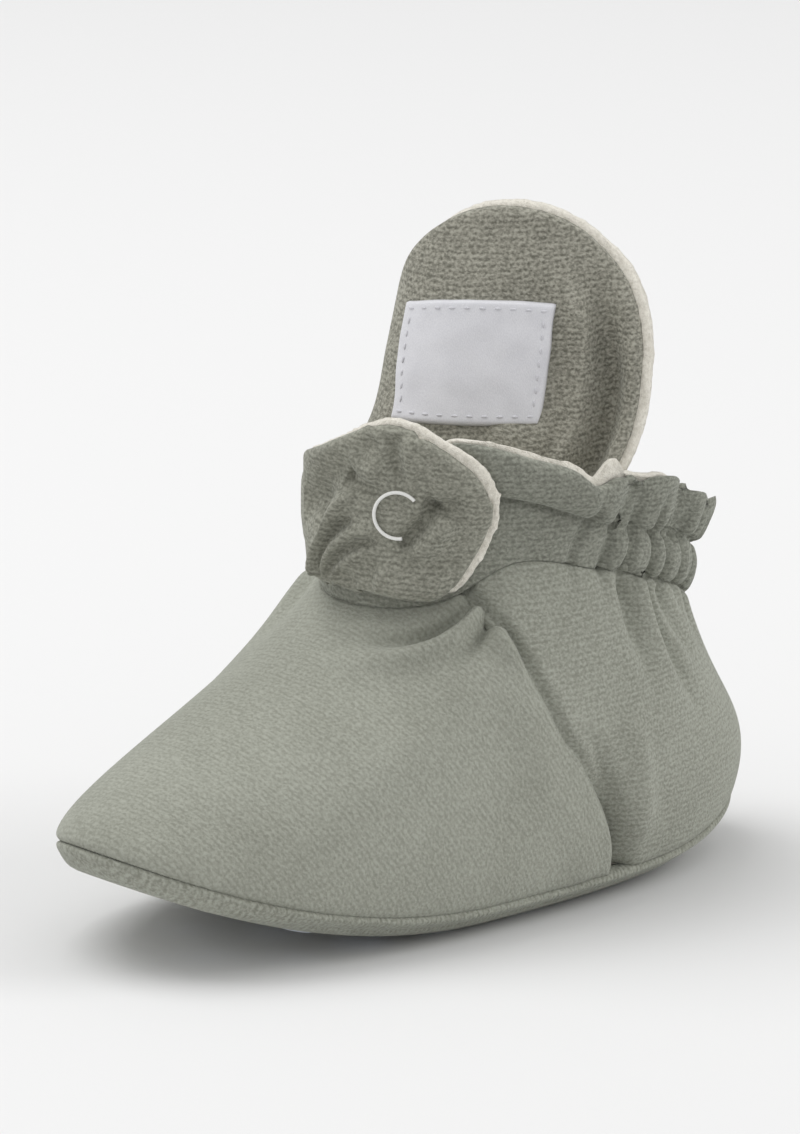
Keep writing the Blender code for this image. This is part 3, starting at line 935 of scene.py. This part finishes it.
def heel_panel():
    """The panel behind the front seams, which laps under the toe panel and the ankle band."""
    def place(across, up):
        level = up * HEEL_TOP
        seam = seam_turn(level) - SEAM_LAP
        return upper_point(lerp(seam, 360.0 - seam, across), level)

    bm = cloth_grid(320, 132, place)
    folds = list(HEEL_FOLDS)
    for side in (1.0, -1.0):
        folds.append((-1.5, 0.9, 0.0, 0.0, seam_line(side)))
        folds.append((-1.7, 0.9, 0.0, 0.0, seam_line(side, SEAM_LAP)))
    folds.append((-0.4, 0.7, 0.0, 0.0, level_line(SEAM_FOOT, 360.0 - SEAM_FOOT, 0.0, 24)))
    for _, foot, depth in PLEATS:
        folds.append((-depth, 0.95, 0.0, 0.9, [(foot, HEEL_TOP), (foot, 0.97), (foot, 0.88)]))
    folds.append((-0.35, 0.6, 0.1, 0.1, level_line(*STITCHES, 1.0)))
    press(bm, folds, upper_point)
    tuck(bm, 1.0 / HEEL_TOP, 0.6)
    piece("heel_panel", bm, heel_velour, ["upper"], VELOUR_WALL)


def pleat_line(top, foot):
    """A pleat of the elastic, from the casing's foot up into the frill."""
    return [(foot, 1.0), (lerp(foot, top, 0.4), 1.5), (top, 2.0), (top, 2.4), (top, 2.7)]


def ruffle_line(top, foot):
    """A valley of the frill, from the casing's top to its edge."""
    return [(foot, 2.0), (lerp(foot, top, 0.5), 2.5), (top, 3.0)]


def ankle_band():
    """The elastic's casing and the frill above it, one strip with a stitch line between."""
    def place(across, up):
        return band_point(lerp(BAND_START, BAND_START + 360.0, across), 2.0 * up)

    bm = cloth_grid(520, 66, place, closed=True)
    folds = [(-depth, 0.95, 0.0, 0.35, pleat_line(top, foot)) for top, foot, depth in PLEATS]
    folds += [(-depth, 1.8, 0.3, 0.0, ruffle_line(top, foot)) for top, foot, depth in RUFFLES]
    for (first, low_first, _), (second, low_second, _) in zip(RUFFLES, RUFFLES[1:]):
        ridge = [((low_first + low_second) / 2, 2.15), ((first + second) / 2, 3.0)]
        folds.append((0.8, 2.6, 0.3, 0.0, ridge))
    folds.append((-0.35, 0.6, 0.1, 0.1, level_line(*STITCHES, 1.0)))
    folds.append((-0.7, 0.6, 0.0, 0.25, level_line(BAND_START, 99.0, 2.0)))
    folds.append((-0.4, 0.5, 0.1, 0.1, level_line(92.0, STITCHES[1], 2.0)))
    press(bm, folds, upper_point)
    piece("ankle_band", bm, band_velour_painted_shade, ["upper"], VELOUR_WALL)


def lining_point(turn, level):
    """A point of the fleece inside, on the same levels as the upper's."""
    # It keeps clear of the casing's foot, and its edge shows over the frill's, most at the dip.
    deeper = 0.4 * hump(level, 1.0, 0.22)
    if level <= 1.0:
        return wall_point(turn, level, LINING_INSET + deeper)
    if level <= 2.0:
        return band_point(turn, level - 1.0, LINING_INSET + deeper)
    rise = level - 2.0
    band = band_sizes(turn)
    edge = 0.35 + 2.2 * hump(turn, 90.0, 5.0)
    gathered = gathers(turn)
    swell = lerp(0.6, 0.3, gathered) * band.puff * math.sin(math.pi * rise)
    stand = BAND_LEAN + band.lean * rise ** lerp(1.0, 1.7, gathered) + swell
    stand -= lerp(LINING_INSET, LINING_TOP_INSET, rise) + 0.4 * gathered
    return band.point + band.out * stand + UP * lerp(band.high, band.top + edge, rise)


def lining():
    """Fleece on the inside from the sole to the frill, whose edge shows as a pale line."""
    def place(across, up):
        return lining_point(lerp(BAND_START + 360.0, BAND_START, across), 3.0 * up)

    bm = cloth_grid(350, 122, place, closed=True)
    folds = [(depth, 1.8, 0.3, 0.0, ruffle_line(top, foot)) for top, foot, depth in RUFFLES]
    folds += [(0.8 * depth, 1.2, 0.0, 0.35, pleat_line(top, foot)) for top, foot, depth in PLEATS]
    for depth, width, begin, end, line in TOE_FOLDS + HEEL_FOLDS:
        if depth < 0.0:
            folds.append((-0.9 * depth, width + 0.5, begin, end, line))
    folds += [(1.5, 1.8, 0.0, 0.0, seam_line(side)) for side in (1.0, -1.0)]
    press(bm, folds, lining_point)
    roughen(bm, 0.25, 1.1)
    piece("lining", bm, fleece, ["upper"], FLEECE_WALL)


def tab_sheet(grow, back):
    """One of the tab's two cloths; grow widens it at the free edges and back sets it behind."""
    def place(across, up):
        free = 1.0 - (1.0 - across) ** 1.7
        turn = lerp(TAB_START, TAB_TIP, free)
        low, high = read_table(TAB, turn)
        # The fleece shows past the velour mostly round the tip and along the upper edge.
        wide = grow * lerp(0.3, 1.0, smooth((turn - 2.0) / 40.0))
        beyond = wide * smooth((turn - 36.0) / 14.0) / TAB_DEGREE
        low -= wide * lerp(-0.5, 0.8, smooth((turn - 37.0) / 8.0))
        high += wide
        return tab_point(turn + beyond, lerp(low, high, up))

    bm = cloth_grid(230, 70, place)
    press(bm, TAB_FOLDS, tab_point, back)
    return bm


def tab():
    face = tab_sheet(0.0, 0.0)
    round_edge(face, 1.3)
    piece("tab_face", face, tab_velour_painted_shade, ["closure_tab"], TAB_WALL)
    back = tab_sheet(1.3, 1.3)
    round_edge(back, 0.7)
    roughen(back, 0.2, 0.9)
    piece("tab_fleece", back, fleece, ["closure_tab"], TAB_FLEECE_WALL)


def tongue_sheet(grow_left, grow_right, back):
    """One of the tongue's two cloths: straight sides, and a fan of rows for its rounded top."""
    shoulder = TONGUE_TOP - TONGUE_ROUND

    def straight(across, up):
        x = 2.0 * across - 1.0
        height = lerp(TONGUE_FOOT, shoulder, up)
        grow = grow_left if x < 0.0 else grow_right
        return tongue_point(x * (tongue_half_width(height) + grow), height)

    def rounded(across, up):
        angle = math.pi * (1.0 - across)
        grow = lerp(grow_left, grow_right, smooth(across * 1.3 - 0.15))
        reach = math.cos(angle) * up * (TONGUE_WIDTH / 2.0 + grow)
        rise = math.sin(angle) * up * (TONGUE_ROUND - 0.9 + grow)
        return tongue_point(reach, shoulder + rise)

    bm = cloth_grid(120, 56, straight)
    top = cloth_grid(150, 60, rounded)
    join(bm, top)
    press(bm, TONGUE_FOLDS, tongue_point, back)
    return bm


def tongue():
    face = tongue_sheet(0.0, -0.8, 0.0)
    round_edge(face, 1.4, lambda spot: spot.z > TONGUE_FOOT + 1.0)
    piece("tongue_face", face, tongue_velour, ["tongue"], TONGUE_WALL)
    back = tongue_sheet(0.2, 0.6, 1.35)
    round_edge(back, 0.9, lambda spot: spot.z > TONGUE_FOOT + 1.0)
    roughen(back, 0.2, 1.0)
    piece("tongue_fleece", back, fleece, ["tongue"], TONGUE_FLEECE_WALL)


def label_spot(across, up):
    """A place on the label as the tongue's reach and height; its top edge bows a little."""
    left, right = read_table(LABEL, up)
    bow = 0.9 * (1.0 - (2.0 * across - 1.0) ** 2) * up
    slant = lerp(-0.6, 0.4, across)
    height = lerp(LABEL_FOOT, LABEL_TOP, up) + bow + slant * (0.4 + 0.6 * up)
    return lerp(left, right, across), height


def way_out(locate, first, second, step, rise_step):
    """The way out of a sheet at one of its places."""
    along = locate(first + step, second) - locate(first - step, second)
    rise = locate(first, second + rise_step) - locate(first, second - rise_step)
    return along.cross(rise).normalized()


def on_label(across, up, lift):
    """A spot over the tongue where the label lies, and the way out of it."""
    reach, height = label_spot(across, up)
    normal = way_out(tongue_point, reach, height, 0.3, 0.3)
    return tongue_point(reach, height) + normal * lift, normal


def label():
    bm = cloth_grid(70, 56, lambda across, up: on_label(across, up, LABEL_LIFT)[0])
    round_edge(bm, 0.7)
    roughen(bm, 0.12, 3.5)
    piece("label_patch", bm, satin, ["label"], LABEL_WALL)


def label_stitches():
    """Short stitches round the label's edge: two rows of ten and two of seven."""
    inset = STITCH_INSET
    spots = []
    for i in range(10):
        spots.append((lerp(inset, 1 - inset, i / 9), inset))
        spots.append((lerp(inset, 1 - inset, i / 9), 1 - inset))
    for i in range(1, 8):
        spots.append((inset, lerp(inset, 1 - inset, i / 8)))
        spots.append((1 - inset * 0.9, lerp(inset, 1 - inset, i / 8)))
    bm = bmesh.new()
    for across, up in spots:
        spot, normal = on_label(across, up, STITCH_LIFT)
        upright = inset < up < 1 - inset
        along = UP if upright else -normal.cross(UP)
        side = normal.cross(along).normalized()
        axes = (side.cross(normal), side, normal)
        sized = Matrix([axis * half for axis, half in zip(axes, STITCH_HALF)])
        matrix = stood(spot, sized.transposed().to_4x4())
        bmesh.ops.create_icosphere(bm, subdivisions=2, radius=1.0, matrix=matrix)
    piece("label_stitches", bm, white_thread)


def snap():
    """A thin open ring of the snap's cap, pressed into the tab's face."""
    turn, height, radius, wire = 26.0, 60.8, 3.4, 0.26
    opening, sweep, lift = 42.0, 240.0, 0.25
    normal = way_out(tab_point, turn, height, 1.0, 0.5)
    bm = bmesh.new()
    bmesh.ops.create_circle(bm, segments=10, radius=wire, cap_ends=False)
    upright = Matrix.Rotation(math.radians(90), 3, "X")
    bmesh.ops.rotate(bm, verts=bm.verts, cent=(0, 0, 0), matrix=upright)
    bmesh.ops.translate(bm, verts=bm.verts, vec=(radius, 0, 0))
    start = Matrix.Rotation(math.radians(opening), 3, "Z")
    bmesh.ops.rotate(bm, verts=bm.verts, cent=(0, 0, 0), matrix=start)
    bmesh.ops.spin(
        bm, geom=bm.edges[:] + bm.verts[:], cent=(0, 0, 0), axis=(0, 0, 1),
        angle=math.radians(sweep), steps=56, use_merge=False,
    )
    bmesh.ops.holes_fill(bm, edges=[e for e in bm.edges if e.is_boundary], sides=12)
    bmesh.ops.recalc_face_normals(bm, faces=bm.faces)
    facing = normal.to_track_quat("Z", "Y").to_matrix().to_4x4()
    bm.transform(stood(tab_point(turn, height) + normal * lift, facing))
    piece("snap_cap", bm, snap_plastic, ["snap_ring"])


def pad(inset, floor, profile, fullness=0.0):
    """A closed pad with the sole's outline; fullness lowers its edge where the toe is lifted."""
    def place(across, up):
        shrink, height = read_table(profile, up)
        rim = min(shrink, PAD_RIM)
        spot, _ = sole_edge(360.0 * across, inset + rim)
        spot *= 1.0 - (shrink - rim) / (100.0 - PAD_RIM)
        lift = sole_lift(spot.y)
        fuller = fullness * smooth((lift - 3.0) / 6.0) * hump(up, 0.45, 0.05)
        spot.z = floor + height + lift - fuller
        return spot

    return cloth_grid(220, 84, place, closed=True)


def sole():
    bm = pad(0.0, SOLE_FLOOR, SOLE_PROFILE, TOE_FULLNESS)
    piece("sole_pad", bm, sole_velour, ["sole"])
    bm = pad(FOOTBED_INSET, FOOTBED_FLOOR, FOOTBED_PROFILE)
    roughen(bm, 0.2, 1.2)
    piece("footbed", bm, fleece, ["insole"])


def grip_dots():
    """Domed dots of silicone printed on the underside, flat where they touch the floor."""
    dots = bmesh.new()
    for across, along, diameter in DOTS:
        x, y = across * BALL_WIDTH / 2.0, along * SOLE_LENGTH / 2.0
        radius = diameter / 2.0
        one = bmesh.new()
        verts = [one.verts.new((radius * share, 0.0, height)) for share, height in DOT_PROFILE]
        edges = [one.edges.new(pair) for pair in zip(verts, verts[1:])]
        bmesh.ops.spin(
            one, geom=verts + edges, cent=(0, 0, 0), axis=(0, 0, 1),
            angle=2 * math.pi, steps=32, use_merge=True,
        )
        bmesh.ops.remove_doubles(one, verts=one.verts, dist=0.001)
        bmesh.ops.holes_fill(one, edges=[e for e in one.edges if e.is_boundary], sides=40)
        bmesh.ops.recalc_face_normals(one, faces=one.faces)
        front, back = sole_lift(y - radius), sole_lift(y + radius)
        lift = (front + back) / 2.0
        tilt = Matrix.Rotation(math.atan2(back - front, diameter), 4, "X")
        one.transform(stood(Vector((x, y, lift + DOT_SINK * smooth(lift / 1.5))), tilt))
        join(dots, one)
    nodes = [f"grip_dot_{n:02d}" for n in range(1, len(DOTS) + 1)]
    piece("grip_dots", dots, silicone, nodes)


def floor():
    bm = bmesh.new()
    bmesh.ops.create_grid(bm, x_segments=1, y_segments=1, size=6.0)
    mesh = bpy.data.meshes.new("floor")
    bm.to_mesh(mesh)
    bm.free()
    f = Finish("floor_paper")
    f.shader.inputs["Specular IOR Level"].default_value = 0.1
    mesh.materials.append(f.set(base_color=tone(226, 226, 226), roughness=0.9))
    obj = bpy.data.objects.new("floor", mesh)
    bpy.context.collection.objects.link(obj)


LIGHTS = [
    # name, place in metres, power, size
    ("top", (-0.62, -0.32, 1.55), 14.5, 1.2),
    ("side", (1.1, 1.3, 1.0), 11.0, 1.1),
    ("front", (-0.3, -1.7, 0.7), 2.0, 0.9),
]
LIT_MIDDLE = Vector((0.0, 0.0, 0.04))


def studio():
    """A pale surround and soft square lights that look at the middle of the shoe."""
    world = bpy.data.worlds.new("studio")
    bpy.context.scene.world = world
    world.use_nodes = True
    sky = world.node_tree.nodes["Background"]
    sky.inputs["Color"].default_value = (0.96, 0.96, 0.96, 1.0)
    sky.inputs["Strength"].default_value = 0.7
    for name, spot, power, size in LIGHTS:
        light = bpy.data.lights.new(name, "AREA")
        light.energy = power
        light.size = size
        obj = bpy.data.objects.new(name, light)
        bpy.context.collection.objects.link(obj)
        obj.location = spot
        obj.rotation_euler = (Vector(spot) - LIT_MIDDLE).to_track_quat("Z", "Y").to_euler()
    bpy.context.scene.view_settings.view_transform = "Standard"


# The photo's view, read from the sole's outline, the label and the front seam.
CAMERA_AZIMUTH = math.radians(49.0)
CAMERA_ELEVATION = math.radians(14.0)
CAMERA_DISTANCE = 1005.0
CAMERA_AIM = (-0.64, 47.76)  # how far right of and above the frame's origin it looks
CAMERA_LENS = 217.0
CAMERA_SENSOR = 36.0


def camera():
    ahead = Vector((
        -math.sin(CAMERA_AZIMUTH) * math.cos(CAMERA_ELEVATION),
        math.cos(CAMERA_AZIMUTH) * math.cos(CAMERA_ELEVATION),
        -math.sin(CAMERA_ELEVATION),
    ))
    right = Vector((math.cos(CAMERA_AZIMUTH), math.sin(CAMERA_AZIMUTH), 0.0))
    above = right.cross(ahead)
    target = right * CAMERA_AIM[0] + above * CAMERA_AIM[1]
    data = bpy.data.cameras.new("camera")
    data.lens = CAMERA_LENS
    data.sensor_width = CAMERA_SENSOR
    data.clip_end = 20.0
    obj = bpy.data.objects.new("camera", data)
    bpy.context.collection.objects.link(obj)
    obj.location = placed(target - ahead * CAMERA_DISTANCE)
    obj.rotation_euler = (-ahead).to_track_quat("Z", "Y").to_euler()
    bpy.context.scene.camera = obj


toe_panel()
heel_panel()
ankle_band()
lining()
tab()
tongue()
label()
label_stitches()
snap()
sole()
grip_dots()
floor()
studio()
camera()
